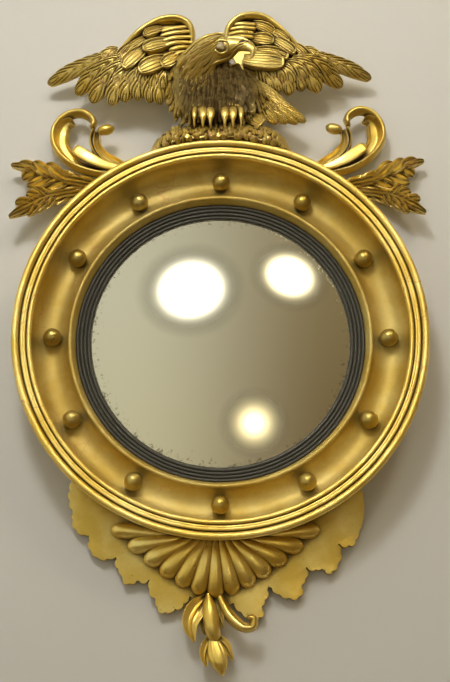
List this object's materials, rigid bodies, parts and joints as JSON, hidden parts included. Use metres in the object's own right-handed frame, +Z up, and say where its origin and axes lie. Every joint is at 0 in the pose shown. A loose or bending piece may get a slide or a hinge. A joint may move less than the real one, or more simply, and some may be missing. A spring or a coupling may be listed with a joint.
{
  "type": "girandole mirror",
  "caption": "Round convex wall mirror in a gilded turned frame with balls in its hollow, a black slip, an eagle crest with scrolls and leaves, and a gadrooned apron.",
  "frame": {"origin": "centre of the ring on its back face, the plane that rests on the wall", "axes": "+Z up, +X to the viewer's right, -Y out of the wall towards the viewer"},
  "size_m": [0.5988, 0.1242, 0.9321],
  "materials": {
    "gilt_wood": "gilded",
    "ebonised_wood": "satin",
    "silvered_glass": "polished",
    "bare_pine": "matte",
    "wrought_iron": "matte"
  },
  "bodies": {
    "mirror": {"frame_ring": "gilt_wood", "cove_balls": "gilt_wood", "slip_ring": "ebonised_wood", "mirror_glass": "silvered_glass", "glass_blocks": "bare_pine", "backboard": "bare_pine", "backboard_brads": "wrought_iron", "hanging_plate": "wrought_iron", "hanging_pin": "wrought_iron", "hanging_screws": "wrought_iron", "crest_pegs": "bare_pine", "crest_rock": "gilt_wood", "eagle_body": "gilt_wood", "eagle_head": "gilt_wood", "eagle_tail": "gilt_wood", "left_wing": "gilt_wood", "right_wing": "gilt_wood", "left_foot": "gilt_wood", "right_foot": "gilt_wood", "left_scroll": "gilt_wood", "right_scroll": "gilt_wood", "left_stem": "gilt_wood", "right_stem": "gilt_wood", "left_button": "gilt_wood", "right_button": "gilt_wood", "left_tongue": "gilt_wood", "right_tongue": "gilt_wood", "left_upper_leaf": "gilt_wood", "right_upper_leaf": "gilt_wood", "left_lower_leaf": "gilt_wood", "right_lower_leaf": "gilt_wood", "left_twig": "gilt_wood", "right_twig": "gilt_wood", "apron_board": "gilt_wood", "apron_shell": "gilt_wood", "apron_tendril": "gilt_wood", "upper_husk": "gilt_wood", "lower_husk": "gilt_wood", "apron_nails": "wrought_iron"},
    "loop": {"hanging_ring": "wrought_iron"}
  },
  "joints": [
    {"name": "loop_swing", "type": "hinge", "parent": "mirror", "child": "loop", "pos_m": [0, -0.0031, 0.25], "axis": [1, 0, 0], "range_deg": [0, 150]}
  ]
}
